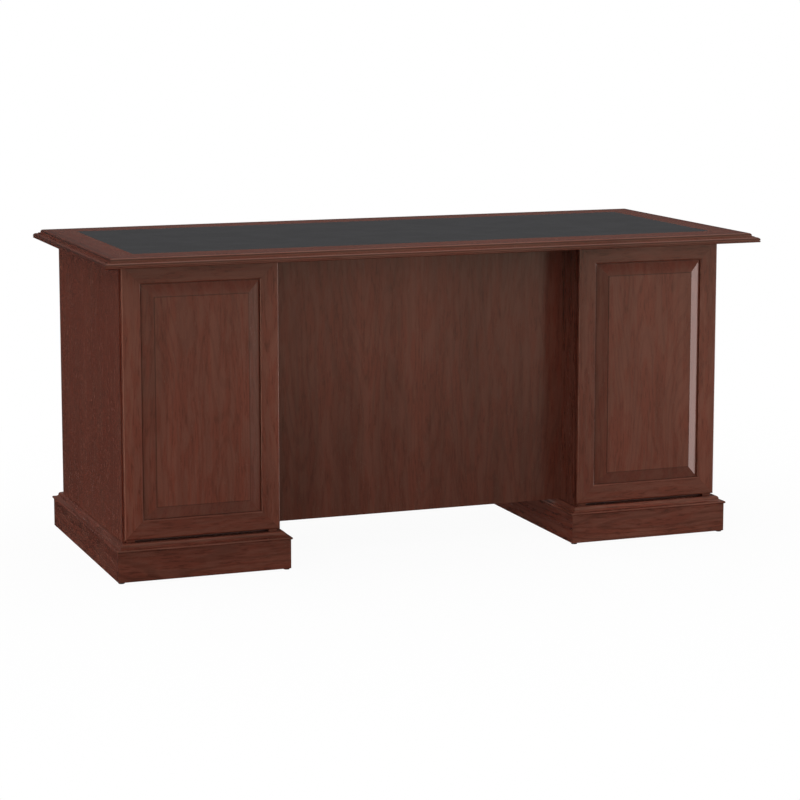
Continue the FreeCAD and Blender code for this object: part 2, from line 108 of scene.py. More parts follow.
# Studio: place, target, width and height of each lamp, card and flag, in metres
LAMPS = {
    "key": ((3.0, -7.4, 1.35), (0, -0.2, 0.42), 0.6, 0.6),
    "overhead": ((0.2, -0.3, 2.9), (0, 0, 0.7), 2.4, 1.4),
    "side": ((-3.4, 0.35, 1.2), (-0.77, 0.05, 0.4), 1.6, 1.6),
    "back": ((-0.9, 4.6, 1.3), (0, 0.36, 0.45), 1.2, 0.8),
    "right": ((3.4, 1.0, 1.2), (0.77, 0.05, 0.4), 1.6, 1.6),
}
RIGHT_CARD = ((2.82, -0.8, 0.05), (0.6, -0.25, 0.05), 1.0, 1.5)
RIGHT_CARD_TINT = (1, 0.91, 1)
LEFT_CARD = ((-2.9, -1.75, 0.0), (-0.7, -0.26, 0.0), 0.6, 1.2)
LEFT_CARD_TINT = (1, 0.9, 0.85)
KEY_FLAG = ((0.82, -1.64, 0.62), LAMPS["key"][0], 0.26, 0.62)
FLAG_BLACK = (0.01, 0.01, 0.01, 1)
FLOOR_SIZE = 30
FLOOR_SEEN = (0.85, 0.85, 0.85, 1)
SENSOR_WIDTH = 36
WHITE = (1, 1, 1, 1)


# Node trees


def feed(tree, socket, value):
    """Links a socket to another, or sets its value."""
    if isinstance(value, bpy.types.NodeSocket):
        tree.links.new(value, socket)
    else:
        socket.default_value = value


def add_node(tree, kind, inputs=None, **settings):
    """Adds a node with its settings and its inputs, which are named or numbered."""
    node = tree.nodes.new(kind)
    for name, value in settings.items():
        setattr(node, name, value)
    for name, value in (inputs or {}).items():
        feed(tree, node.inputs[name], value)
    return node


def maths(tree, operation, *values):
    """One step of arithmetic on numbers."""
    node = add_node(tree, "ShaderNodeMath", dict(enumerate(values)), operation=operation)
    return node.outputs[0]


def vector_maths(tree, operation, *values):
    """One step of arithmetic on vectors."""
    node = add_node(tree, "ShaderNodeVectorMath", dict(enumerate(values)), operation=operation)
    return node.outputs[0]


def ramp(tree, value, start, end, low=0.0, high=1.0):
    """Carries a value smoothly from low at start to high at end."""
    inputs = {"Value": value, "From Min": start, "From Max": end, "To Min": low, "To Max": high}
    return add_node(tree, "ShaderNodeMapRange", inputs, interpolation_type="SMOOTHSTEP").outputs[0]


def opaque(colour, share=1.0):
    """A colour with its alpha, or a share of its light."""
    return (*(share * part for part in colour), 1)


def mix_colour(tree, factor, a, b):
    """Mixes two colours."""
    node = add_node(tree, "ShaderNodeMix", data_type="RGBA")
    feed(tree, node.inputs[0], factor)
    feed(tree, node.inputs[6], a)
    feed(tree, node.inputs[7], b)
    return node.outputs[2]


def mix_vector(tree, factor, a, b):
    """Mixes two vectors."""
    node = add_node(tree, "ShaderNodeMix", data_type="VECTOR")
    feed(tree, node.inputs[0], factor)
    feed(tree, node.inputs[4], a)
    feed(tree, node.inputs[5], b)
    return node.outputs[1]


def noise(tree, vector, stretch, detail=2.0, roughness=0.5):
    """Noise on coordinates in metres, with its cells per metre along each axis."""
    scaled = vector_maths(tree, "MULTIPLY", vector, stretch)
    inputs = {"Vector": scaled, "Scale": 1.0, "Detail": detail, "Roughness": roughness}
    return add_node(tree, "ShaderNodeTexNoise", inputs).outputs[0]


def split(tree, vector):
    """The three numbers of a vector."""
    return add_node(tree, "ShaderNodeSeparateXYZ", {0: vector}).outputs[:]


def join(tree, x, y, z):
    """A vector from three numbers."""
    return add_node(tree, "ShaderNodeCombineXYZ", {0: x, 1: y, 2: z}).outputs[0]


def new_group(name, inputs, outputs):
    """An empty shader node group with its sockets. Gives its tree, its inputs and its output node."""
    group = bpy.data.node_groups.new(name, "ShaderNodeTree")
    for label, kind, value in inputs:
        socket = group.interface.new_socket(name=label, in_out="INPUT", socket_type=kind)
        socket.default_value = value
    for label, kind in outputs:
        group.interface.new_socket(name=label, in_out="OUTPUT", socket_type=kind)
    source = group.nodes.new("NodeGroupInput")
    return group, source.outputs, group.nodes.new("NodeGroupOutput")


def place_group(tree, group, inputs):
    """Adds the group's node first, because its sockets exist only once it has its tree."""
    node = tree.nodes.new("ShaderNodeGroup")
    node.node_tree = group
    for name, value in inputs.items():
        feed(tree, node.inputs[name], value)
    return node.outputs


def new_material(name):
    """A material with its tree and its Principled shader."""
    material = bpy.data.materials.new(name)
    material.use_nodes = True
    return material, material.node_tree, material.node_tree.nodes["Principled BSDF"]


def set_bump(tree, shader, height, strength, distance):
    """Gives a shader a bump from a height over the surface."""
    bump = add_node(tree, "ShaderNodeBump", {"Strength": strength, "Distance": distance, "Height": height})
    feed(tree, shader.inputs["Normal"], bump.outputs[0])


def place_on_piece(tree):
    """Coordinates in metres that stay with the piece."""
    return tree.nodes.new("ShaderNodeTexCoord").outputs["Object"]


def dress(names, material):
    """Gives modelled pieces their material."""
    for name in names:
        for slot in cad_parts[name].material_slots:
            slot.material = material


# Groups that several materials share


def wood_grain_group():
    """Straight-grained hardwood. The vector's z runs along the grain."""
    name = "Wood grain"
    if name in bpy.data.node_groups:
        return bpy.data.node_groups[name]
    colour, number, vector = "NodeSocketColor", "NodeSocketFloat", "NodeSocketVector"
    group, given, out = new_group(
        name,
        [("Vector", vector, (0, 0, 0)), ("Ground", colour, (0.1, 0.04, 0.03, 1)),
         ("Dark", colour, (0.05, 0.02, 0.01, 1)), ("Warm", colour, (0.12, 0.03, 0.02, 1)),
         ("Figure", number, 1.0), ("Marks", number, 1.0), ("Tone", number, 1.0), ("Sheen", number, 0.2)],
        [("Color", colour), ("Roughness", number), ("Height", number)])
    sway = noise(group, given["Vector"], GRAIN_CELLS["sway"])
    shift = maths(group, "MULTIPLY", maths(group, "SUBTRACT", sway, 0.5), SWAY)
    line = vector_maths(group, "ADD", given["Vector"], join(group, shift, shift, 0.0))
    band = ramp(group, noise(group, line, GRAIN_CELLS["band"]), 0.32, 0.68)
    streak = ramp(group, noise(group, line, GRAIN_CELLS["streak"], 3.0, 0.6), 0.4, 0.66)
    fibre = noise(group, line, GRAIN_CELLS["fibre"], 2.0, 0.6)
    pores = ramp(group, noise(group, line, GRAIN_CELLS["pores"], 1.0), 0.6, 0.72)
    patch = ramp(group, noise(group, line, GRAIN_CELLS["patch"]), 0.38, 0.62)
    fleck = ramp(group, noise(group, line, GRAIN_CELLS["fleck"], 2.0, 0.55), 0.5, 0.66)
    fleck = maths(group, "MULTIPLY", fleck, ramp(group, patch, 0, 1, 0.25, 1.0))
    blush = ramp(group, noise(group, given["Vector"], GRAIN_CELLS["blush"]), 0.36, 0.64)
    rings = maths(group, "MULTIPLY", noise(group, line, GRAIN_CELLS["rings"], 1.0), RING_COUNT)
    figure = maths(group, "MULTIPLY", ramp(group, maths(group, "SINE", rings), 0.2, 1.0), given["Figure"])
    shade = mix_colour(group, patch, given["Ground"], given["Warm"])
    marks = ((streak, STREAK_SHARE), (fleck, FLECK_SHARE), (figure, FIGURE_SHARE), (pores, PORE_SHARE))
    for mark, share in marks:
        strength = maths(group, "MULTIPLY", given["Marks"], share)
        shade = mix_colour(group, maths(group, "MULTIPLY", mark, strength), shade, given["Dark"])
    drift = maths(group, "ADD", ramp(group, blush, 0, 1, -0.03, 0.03), ramp(group, patch, 0, 1, 0.025, -0.025))
    drift = maths(group, "ADD", ramp(group, band, 0, 1, -0.05, 0.05), drift)
    drift = maths(group, "MULTIPLY", given["Marks"], drift)
    level = maths(group, "MULTIPLY", maths(group, "ADD", 1.0, drift), ramp(group, fibre, 0.2, 0.8, 0.95, 1.05))
    level = maths(group, "MULTIPLY", level, given["Tone"])
    feed(group, out.inputs["Color"], vector_maths(group, "MULTIPLY", shade, join(group, level, level, level)))
    rough = maths(group, "ADD", given["Sheen"], maths(group, "MULTIPLY", pores, 0.08))
    feed(group, out.inputs["Roughness"], maths(group, "ADD", rough, ramp(group, streak, 0, 1, -0.015, 0.015)))
    feed(group, out.inputs["Height"], maths(group, "SUBTRACT", maths(group, "MULTIPLY", fibre, 0.35), pores))
    return group


def mitre_group():
    """Tells which member of a mitred frame a point lies in, where the mitre is and how far the edge is."""
    name = "Mitred members"
    if name in bpy.data.node_groups:
        return bpy.data.node_groups[name]
    number = "NodeSocketFloat"
    group, given, out = new_group(
        name,
        [("Across", number, 0.0), ("Along", number, 0.0), ("Half Across", number, 1.0),
         ("Half Along", number, 1.0), ("Slope", number, 1.0)],
        [("Side Member", number), ("Joint", number), ("Margin", number)])
    across = maths(group, "SUBTRACT", given["Half Across"], maths(group, "ABSOLUTE", given["Across"]))
    along = maths(group, "SUBTRACT", given["Half Along"], maths(group, "ABSOLUTE", given["Along"]))
    feed(group, out.inputs["Margin"], maths(group, "MINIMUM", across, along))
    offset = maths(group, "SUBTRACT", maths(group, "MULTIPLY", across, given["Slope"]), along)
    feed(group, out.inputs["Side Member"], ramp(group, offset, -0.0002, 0.0002, 1.0, 0.0))
    feed(group, out.inputs["Joint"], ramp(group, maths(group, "ABSOLUTE", offset), 0.0002, 0.0009, 1.0, 0.0))
    return group


def brushed_group():
    """Fine scratches and cloudy patches for metal."""
    name = "Worn metal"
    if name in bpy.data.node_groups:
        return bpy.data.node_groups[name]
    group, given, out = new_group(
        name, [("Vector", "NodeSocketVector", (0, 0, 0)), ("Stretch", "NodeSocketVector", (400, 20, 400))],
        [("Cloud", "NodeSocketFloat"), ("Scratch", "NodeSocketFloat")])
    feed(group, out.inputs["Cloud"], ramp(group, noise(group, given["Vector"], (60, 60, 60), 4.0), 0.35, 0.65))
    feed(group, out.inputs["Scratch"], noise(group, given["Vector"], given["Stretch"], 3.0, 0.6))
    return group


# Finishes


def grain_vectors(tree):
    """Coordinates whose z runs up, across the desk or from visitor to user."""
    place = place_on_piece(tree)
    x, y, z = split(tree, place)
    return {"up": place, "across": join(tree, z, y, x), "through": join(tree, x, z, y)}, (x, y, z)


def folded(tree, x):
    """Distance from the middle of the pedestal that the point belongs to."""
    return maths(tree, "SUBTRACT", maths(tree, "ABSOLUTE", x), PEDESTAL_X)


def member_spans(tree, grain, x, y, z):
    """Where a point lies in a mitred ring, the ring's half sizes and its mitres' slope."""
    if grain == "border":
        slope = (TOP_HIGH.y - INLAY_HIGH.y) / (TOP_HIGH.x - INLAY_HIGH.x)
        return x, y, TOP_HIGH.x, TOP_HIGH.y, slope
    low, high = {"frame": FRAME_BOX, "panel": PANEL_BOX, "plinth": PLINTH_BOX}[grain]
    along, axis = (y, 1) if grain == "plinth" else (z, 2)
    from_middle = maths(tree, "SUBTRACT", along, (low[axis] + high[axis]) / 2)
    return folded(tree, x), from_middle, (high.x - low.x) / 2, (high[axis] - low[axis]) / 2, 1.0


def lay_grain(tree, shader, inputs, strength, distance=0.0003):
    """Gives a shader the grain's sheen and bump, and gives back the grain's colour."""
    colour, rough, height = place_group(tree, wood_grain_group(), inputs)[:]
    feed(tree, shader.inputs["Roughness"], rough)
    set_bump(tree, shader, height, strength, distance)
    return colour


def tone_on_line(tree, tone, distance, line, reach, share):
    """Lowers a tone to a share of itself where a distance comes near a line."""
    from_line = maths(tree, "ABSOLUTE", maths(tree, "SUBTRACT", distance, line))
    return maths(tree, "MULTIPLY", tone, ramp(tree, from_line, *reach, share, 1.0))


def panel_tone(tree, look, side, margin):
    """Tone of a raised panel: its field, its bevels, and the lines of painted shade round both."""
    # Painted sheen: the level bevels take a lighter tone
    bevel = ramp(tree, side, 0.0, 1.0, look.level_bevel_tone, look.upright_bevel_tone)
    tone = ramp(tree, margin, PANEL_MARGIN - BEVEL_BLEND, PANEL_MARGIN + BEVEL_BLEND, bevel, 1.0)
    # Painted shade: dark lines along the field's edge and along the bevels' foot
    for line in (PANEL_MARGIN, PANEL_FOOT):
        tone = tone_on_line(tree, tone, margin, line, QUIRK_SHADE_REACH, look.quirk_shade_tone)
    return tone


def panel_painted_sheen(tree, side, margin):
    """Strength of the painted sheen, a paler colour which only the level bevels have."""
    level = ramp(tree, side, 0.0, 1.0, PAINTED_SHEEN_SHARE, 0.0)
    field = ramp(tree, margin, PANEL_MARGIN, PANEL_MARGIN + BEVEL_BLEND, 0.0, PAINTED_SHEEN_SHARE)
    return maths(tree, "MAXIMUM", maths(tree, "SUBTRACT", level, field), 0.0)


def cherry_material(name, look, grain, figure=1.0, marks=1.0, tone=1.0, foot=None, shade_lines=()):
    """Stained cherry under satin lacquer. The grain runs one way, or follows mitred members."""
    if name in bpy.data.materials:
        return bpy.data.materials[name]
    material, tree, shader = new_material(name)
    vectors, (x, y, z) = grain_vectors(tree)
    vector, joint = vectors.get(grain), None
    # Painted shade: the modesty panel darkens towards the floor
    if foot is not None:
        tone = ramp(tree, z, *FOOT_SHADE_HEIGHTS, foot * tone, tone)
    # Painted shade: dark lines at the given heights
    for line in shade_lines:
        tone = tone_on_line(tree, tone, z, line, SHADE_LINE_REACH, look.shade_line_tone)
    if vector is None:
        labels = ("Across", "Along", "Half Across", "Half Along", "Slope")
        spans = member_spans(tree, grain, x, y, z)
        side, joint, margin = place_group(tree, mitre_group(), dict(zip(labels, spans)))[:]
        if grain == "panel":
            vector, joint = vectors["up"], None
            tone = panel_tone(tree, look, side, margin)
        else:
            vector = mix_vector(tree, side, vectors["across"], vectors["up" if grain == "frame" else "through"])
            if grain == "frame":
                tone = ramp(tree, side, 0.0, 1.0, look.rail_tone * tone, tone)
    colour = lay_grain(tree, shader, {
        "Vector": vector, "Ground": opaque(look.ground), "Dark": opaque(look.dark), "Warm": opaque(look.warm),
        "Figure": figure, "Marks": marks, "Tone": tone, "Sheen": look.roughness}, 0.02)
    if joint is not None:
        colour = mix_colour(tree, maths(tree, "MULTIPLY", joint, JOINT_SHARE), colour, opaque(look.dark))
    # Painted sheen: a paler colour on the level bevels
    if grain == "panel":
        colour = mix_colour(tree, panel_painted_sheen(tree, side, margin), colour, opaque(look.painted_sheen))
    feed(tree, shader.inputs["Base Color"], colour)
    shader.inputs["Specular Tint"].default_value = LACQUER_TINT
    return material


def frame_material(look):
    """Cherry of the mitred frames, which the blocks behind them share."""
    return cherry_material("cherry_frame", look, "frame", 0.5, 1.8, FRAME_TONE)


def leather_material(look):
    """Smooth dark writing leather with a fine pebbled grain."""
    material, tree, shader = new_material("writing_leather")
    place = place_on_piece(tree)
    cell = 1.0 / look.pebble
    pebbles = add_node(tree, "ShaderNodeTexVoronoi", {"Vector": place, "Scale": cell}, feature="SMOOTH_F1")
    crease = ramp(tree, pebbles.outputs["Distance"], 0.2, 0.75)
    cloud = ramp(tree, noise(tree, place, (9, 9, 9), 4.0), 0.3, 0.7)
    tone = mix_colour(tree, cloud, opaque(look.colour), opaque(look.colour, 0.82))
    tone = mix_colour(tree, maths(tree, "MULTIPLY", crease, 0.25), tone, opaque(look.crease))
    feed(tree, shader.inputs["Base Color"], tone)
    rough = ramp(tree, cloud, 0, 1, look.roughness - 0.03, look.roughness + 0.03)
    feed(tree, shader.inputs["Roughness"], maths(tree, "ADD", rough, maths(tree, "MULTIPLY", crease, 0.08)))
    set_bump(tree, shader, maths(tree, "SUBTRACT", 1.0, crease), 0.25, 0.0002)
    return material


def birch_material(look):
    """Pale clear-coated boards of the drawer boxes."""
    material, tree, shader = new_material("drawer_birch")
    vectors, _ = grain_vectors(tree)
    facing = split(tree, tree.nodes.new("ShaderNodeTexCoord").outputs["Normal"])
    end_board = ramp(tree, maths(tree, "ABSOLUTE", facing[1]), 0.5, 0.6)
    vector = mix_vector(tree, end_board, vectors["through"], vectors["across"])
    colour = lay_grain(tree, shader, {
        "Vector": vector, "Ground": opaque(look.birch), "Dark": opaque(look.birch_grain),
        "Warm": opaque(look.birch_warm), "Figure": 0.5, "Sheen": 0.4}, 0.1)
    feed(tree, shader.inputs["Base Color"], colour)
    return material


def carcass_material(look):
    """Brown foil on the boards inside the pedestals."""
    material, tree, shader = new_material("carcass_board")
    vectors, _ = grain_vectors(tree)
    colour = lay_grain(tree, shader, {
        "Vector": vectors["across"], "Ground": opaque(look.foil), "Dark": opaque(look.foil_grain),
        "Warm": opaque(look.foil), "Figure": 0.3, "Sheen": 0.5}, 0.06, 0.0002)
    feed(tree, shader.inputs["Base Color"], colour)
    return material


def steel_material(look):
    """Zinc-plated pressed steel of the slides and brackets."""
    if "slide_steel" in bpy.data.materials:
        return bpy.data.materials["slide_steel"]
    material, tree, shader = new_material("slide_steel")
    place = place_on_piece(tree)
    cloud, scratch = place_group(tree, brushed_group(), {"Vector": place, "Stretch": (700, 15, 700)})[:]
    feed(tree, shader.inputs["Base Color"], mix_colour(tree, cloud, opaque(look.steel), opaque(look.steel_dull)))
    rough = ramp(tree, cloud, 0, 1, 0.28, 0.36)
    feed(tree, shader.inputs["Roughness"], maths(tree, "ADD", rough, maths(tree, "MULTIPLY", scratch, 0.12)))
    shader.inputs["Metallic"].default_value = 1.0
    set_bump(tree, shader, scratch, 0.1, 0.0002)
    return material


def brass_material(look):
    """Antique brass: rubbed bright on the high places, brown where it is not touched."""
    material, tree, shader = new_material("antique_brass")
    place = place_on_piece(tree)
    cloud, scratch = place_group(tree, brushed_group(), {"Vector": place, "Stretch": (60, 500, 500)})[:]
    low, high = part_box("left_upper_drawer_pull")
    rubbed = ramp(tree, split(tree, place)[1], low.y + 0.2 * (high.y - low.y), high.y)
    age = maths(tree, "MULTIPLY", cloud, ramp(tree, rubbed, 0, 1, 0.85, 0.35))
    feed(tree, shader.inputs["Base Color"], mix_colour(tree, age, opaque(look.brass), opaque(look.patina)))
    rough = ramp(tree, age, 0, 1, 0.24, 0.42)
    feed(tree, shader.inputs["Roughness"], maths(tree, "ADD", rough, maths(tree, "MULTIPLY", scratch, 0.06)))
    shader.inputs["Metallic"].default_value = 1.0
    set_bump(tree, shader, scratch, 0.06, 0.0002)
    return material


def glide_material(look):
    """Black moulded plastic with a fine spark texture."""
    material, tree, shader = new_material("glide_plastic")
    place = place_on_piece(tree)
    spark = noise(tree, place, (1500, 1500, 1500), 2.0)
    dust = ramp(tree, noise(tree, place, (90, 90, 90), 3.0), 0.45, 0.7)
    pale = maths(tree, "MULTIPLY", dust, 0.4)
    feed(tree, shader.inputs["Base Color"], mix_colour(tree, pale, opaque(look.plastic), opaque(look.plastic, 3)))
    feed(tree, shader.inputs["Roughness"], ramp(tree, dust, 0, 1, 0.45, 0.65))
    set_bump(tree, shader, spark, 0.2, 0.0002)
    return material


# Settings


def colour_setting(label, text, value):
    """A colour that a user may change."""
    return FloatVectorProperty(name=label, description=text, default=value, subtype="COLOR", min=0, max=1)


def share_setting(label, text, value):
    """A share between none and all."""
    return FloatProperty(name=label, description=text, default=value, min=0, max=1, subtype="FACTOR")


def amount_setting(label, text, value, unit="NONE"):
    """An amount that isn't negative."""
    return FloatProperty(name=label, description=text, default=value, min=0, unit=unit)


class CherryLook(bpy.types.PropertyGroup):
    """Stain and lacquer of the cherry."""
    ground: colour_setting("Ground", "Colour between the grain lines", (0.141, 0.0438, 0.0283))
    dark: colour_setting("Dark grain", "Colour of the streaks and pores", (0.064, 0.0175, 0.0108))
    warm: colour_setting("Warm patches", "Colour of the redder patches", (0.150, 0.0362, 0.0218))
    # Painted sheen: the level bevels' paler colour and lighter tone stand in for their reflection
    painted_sheen: colour_setting("Bevel bloom", "Paler colour on the level bevels", (0.200, 0.110, 0.085))
    upright_bevel_tone: amount_setting("Upright bevels", "Tone of the bevels cut along the grain", 0.86)
    level_bevel_tone: amount_setting("Level bevels", "Tone of the bevels cut across the grain", 1.1)
    # Painted shade along the raised panels' field edges and bevel feet
    quirk_shade_tone: share_setting("Quirk tone", "Share of light that the lines round the panels keep", 0.55)
    rail_tone: share_setting("Rail tone", "Share of light that the rails keep beside the stiles", 0.88)
    edge_tone: share_setting("Edge tone", "Share of light that the moulded edges keep", 0.78)
    # Painted shade: two dark lines along the top's moulded edges
    shade_line_tone: share_setting("Glaze tone", "Share of light that the glaze in the mouldings keeps", 0.46)
    # Painted shade: the kneehole's sides are a darker copy of the outer sides' cherry
    inner_shade_tone: share_setting("Inner tone", "Share of light that the kneehole's sides keep", 0.84)
    # Painted shade: the modesty panel's cherry is darker overall, for the kneehole's shade
    modesty_shade_tone: share_setting("Modesty tone", "Share of light that the modesty panel's veneer keeps", 0.97)
    # Painted shade low on the modesty panel
    foot_shade_tone: share_setting("Modesty foot tone", "Share of that light left low on the modesty panel", 0.74)
    roughness: share_setting("Lacquer roughness", "Satin of the lacquer", 0.2)


class LeatherLook(bpy.types.PropertyGroup):
    """Writing leather."""
    colour: colour_setting("Leather", "Colour of the leather", (0.020, 0.020, 0.0225))
    crease: colour_setting("Creases", "Colour between the pebbles", (0.012, 0.012, 0.013))
    pebble: FloatProperty(
        name="Pebble", description="Size of the leather's pebbles", default=0.0011, min=0.0002, unit="LENGTH")
    roughness: share_setting("Roughness", "Matt of the leather", 0.5)


class InsideLook(bpy.types.PropertyGroup):
    """Boards inside the desk."""
    birch: colour_setting("Birch", "Colour of the drawer boxes", (0.62, 0.43, 0.25))
    birch_grain: colour_setting("Birch grain", "Colour of their grain", (0.44, 0.27, 0.14))
    birch_warm: colour_setting("Birch patches", "Colour of their warmer patches", (0.60, 0.38, 0.20))
    foil: colour_setting("Carcass foil", "Colour of the carcass boards", (0.085, 0.034, 0.024))
    foil_grain: colour_setting("Foil grain", "Colour of the grain on them", (0.05, 0.02, 0.014))


class MetalLook(bpy.types.PropertyGroup):
    """Metal and plastic fittings."""
    steel: colour_setting("Steel", "Colour of the plated steel", (0.60, 0.61, 0.63))
    steel_dull: colour_setting("Dull steel", "Colour of its cloudy patches", (0.42, 0.43, 0.45))
    brass: colour_setting("Brass", "Colour of the rubbed brass", (0.60, 0.40, 0.17))
    patina: colour_setting("Patina", "Colour of the aged brass", (0.16, 0.095, 0.045))
    plastic: colour_setting("Glides", "Colour of the floor glides", (0.018, 0.017, 0.017))


class StudioLook(bpy.types.PropertyGroup):
    """Floor, light and camera."""
    floor: colour_setting("Floor", "Colour of the floor", (0.18, 0.18, 0.18))
    left_sky: amount_setting("Left soft light", "Strength of the light all round from the left", 1.52)
    right_sky: amount_setting("Right soft light", "Strength of the light all round from the right", 0.42)
    key: amount_setting("Key", "Power of the lamp in front", 80.0, "POWER")
    overhead: amount_setting("Overhead", "Power of the lamp above", 30.0, "POWER")
    side: amount_setting("Side", "Power of the lamp on the left", 8.0, "POWER")
    back: amount_setting("Back", "Power of the lamp behind", 36.0, "POWER")
    right: amount_setting("Right", "Power of the lamp on the right", 13.0, "POWER")
    left_card: amount_setting("Left card", "Brightness of the reflector on the left", 6.0)
    right_card: amount_setting("Right card", "Brightness of the reflector on the right", 4.3)
    front_glow: amount_setting("Front glow", "What the lacquer mirrors in front", 0.72)
    back_glow: amount_setting("Back glow", "What the lacquer mirrors behind", 0.06)
    top_glow: amount_setting("Top glow", "What the lacquer mirrors above", 0.66)
    lens: FloatProperty(
        name="Lens", description="Focal length of the camera", default=111.01, min=1, unit="CAMERA")
    camera: FloatVectorProperty(
        name="Camera", description="Place of the camera", default=(-2.1553, -5.7371, 1.3892), subtype="TRANSLATION",
        unit="LENGTH")
    turn: FloatProperty(name="Turn", description="Turn of the camera to the right", default=0.362, unit="ROTATION")
    tilt: FloatProperty(name="Tilt", description="Tilt of the camera down", default=0.137, unit="ROTATION")
    shift: FloatProperty(name="Shift", description="Shift of the picture down", default=0.1)


# Pieces


class DESK_OT_top(bpy.types.Operator):
    """Finish the border and the moulded edges of the top"""
    bl_idname = "desk.top"
    bl_label = "Top"

    def execute(self, context):
        look = context.scene.desk_cherry
        dress(["top_core_panel"], cherry_material("cherry_border", look, "border", 0.6))
        edges = (("long", "across", ("front", "back")), ("short", "through", ("left", "right")))
        for length, grain, places in edges:
            # The moulded edges take a darker tone and two lines of painted shade along their profile
            material = cherry_material(
                f"cherry_{length}_edge", look, grain, 0.4, tone=look.edge_tone, shade_lines=EDGE_SHADE_LINES)
            dress([f"top_{place}_edge" for place in places], material)
        return {"FINISHED"}


class DESK_OT_inlay(bpy.types.Operator):
    """Finish the leather of the writing surface"""
    bl_idname = "desk.inlay"
    bl_label = "Writing inlay"

    def execute(self, context):
        dress(["writing_inlay"], leather_material(context.scene.desk_leather))
        return {"FINISHED"}


class DESK_OT_panels(bpy.types.Operator):
    """Finish the sides, the raised panels and the modesty panel"""
    bl_idname = "desk.panels"
    bl_label = "Sides and panels"

    def execute(self, context):
        look = context.scene.desk_cherry
        finishes = {
            "outer_side": cherry_material("cherry_upright", look, "up", 1.0, 0.9),
            # Painted shade: the kneehole's sides take a darker tone
            "inner_side": cherry_material("cherry_inner", look, "up", 1.0, 1.9, look.inner_shade_tone),
            "raised_panel": cherry_material("cherry_panel", look, "panel", 1.2, 1.3),
        }
        for piece, material in finishes.items():
            dress([f"{side}_{piece}" for side in SIDES], material)
        # Painted shade: the modesty panel takes a darker tone, and darker still towards the floor
        modesty = cherry_material("cherry_modesty", look, "up", 1.2, 1.35, look.modesty_shade_tone, look.foot_shade_tone)
        dress(["modesty_panel"], modesty)
        return {"FINISHED"}


class DESK_OT_frames(bpy.types.Operator):
    """Finish the mitred frames round the raised panels"""
    bl_idname = "desk.frames"
    bl_label = "Panel frames"

    def execute(self, context):
        dress([f"{side}_panel_frame" for side in SIDES], frame_material(context.scene.desk_cherry))
        return {"FINISHED"}


class DESK_OT_rabbet_blocks(bpy.types.Operator):
    """Model the blocks that close the ends of the frames' rabbets"""
    bl_idname = "desk.rabbet_blocks"
    bl_label = "Rabbet blocks"

    def execute(self, context):
        blocks = []
        for side in SIDES:
            low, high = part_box(f"{side}_panel_frame")
            wall_low, wall_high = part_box(f"{side}_outer_side")
            for start in (low.x + RABBET, high.x - RABBET - RABBET_BLOCK):
                for bottom, top in ((wall_low.z, low.z + RABBET), (high.z - RABBET, wall_high.z)):
                    blocks.append(model_block(
                        Vector((start, low.y + FRAME_LIP, bottom)), Vector((start + RABBET_BLOCK, high.y, top))))
        piece = join_pieces("rabbet_blocks", blocks, frame_material(context.scene.desk_cherry))
        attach(piece, "desk_frame")
        return {"FINISHED"}


def join_pieces(name, pieces, material):
    """Joins objects into one piece with one material."""
    bpy.ops.object.select_all(action="DESELECT")
    for piece in pieces:
        piece.select_set(True)
    bpy.context.view_layer.objects.active = pieces[0]
    bpy.ops.object.join()
    joined = bpy.context.object
    joined.name = name
    joined.data.materials.clear()
    joined.data.materials.append(material)
    return joined


def model_block(low, high):
    """A small block between two corners, with eased edges."""
    bpy.ops.object.select_all(action="DESELECT")
    bpy.ops.mesh.primitive_cube_add(size=1, location=(low + high) / 2, scale=high - low)
    block = bpy.context.object
    bpy.ops.object.transform_apply()
    bpy.ops.object.mode_set(mode="EDIT")
    bpy.ops.mesh.select_all(action="SELECT")
    bpy.ops.mesh.bevel(offset=BLOCK_EASE, segments=2)
    bpy.ops.object.mode_set(mode="OBJECT")
    return block


class DESK_OT_plinths(bpy.types.Operator):
    """Finish the boards and the caps of the plinths"""
    bl_idname = "desk.plinths"
    bl_label = "Plinths"

    def execute(self, context):
        material = cherry_material("cherry_plinth", context.scene.desk_cherry, "plinth", 1.5, 2.2)
        dress([f"{side}_plinth_{piece}" for side in SIDES for piece in ("boards", "cap")], material)
        return {"FINISHED"}


class DESK_OT_drawer_fronts(bpy.types.Operator):
    """Finish the fielded fronts of the drawers"""
    bl_idname = "desk.drawer_fronts"
    bl_label = "Drawer fronts"

    def execute(self, context):
        material = cherry_material("cherry_level", context.scene.desk_cherry, "across")
        dress([f"{drawer}_front" for drawer in DRAWERS], material)
        return {"FINISHED"}


class DESK_OT_drawer_boxes(bpy.types.Operator):
    """Finish the birch boxes of the drawers"""
    bl_idname = "desk.drawer_boxes"
    bl_label = "Drawer boxes"

    def execute(self, context):
        dress([f"{drawer}_box" for drawer in DRAWERS], birch_material(context.scene.desk_inside))
        return {"FINISHED"}


class DESK_OT_carcass(bpy.types.Operator):
    """Finish the boards inside the pedestals and over the kneehole"""
    bl_idname = "desk.carcass"
    bl_label = "Carcass boards"

    def execute(self, context):
        names = ["left_bottom_panel", "right_bottom_panel", "top_stretchers", "kneehole_rail"]
        dress(names, carcass_material(context.scene.desk_inside))
        return {"FINISHED"}


class DESK_OT_slides(bpy.types.Operator):
    """Finish the slides, the folder rails and the corner brackets"""
    bl_idname = "desk.slides"
    bl_label = "Slides and brackets"

    def execute(self, context):
        names = ["slide_case_members", "corner_brackets"] + [f"{drawer}_runners" for drawer in DRAWERS]
        for side in SIDES:
            names += [f"{side}_file_drawer_slide_links", f"{side}_file_drawer_folder_rails"]
        dress(names, steel_material(context.scene.desk_metal))
        return {"FINISHED"}


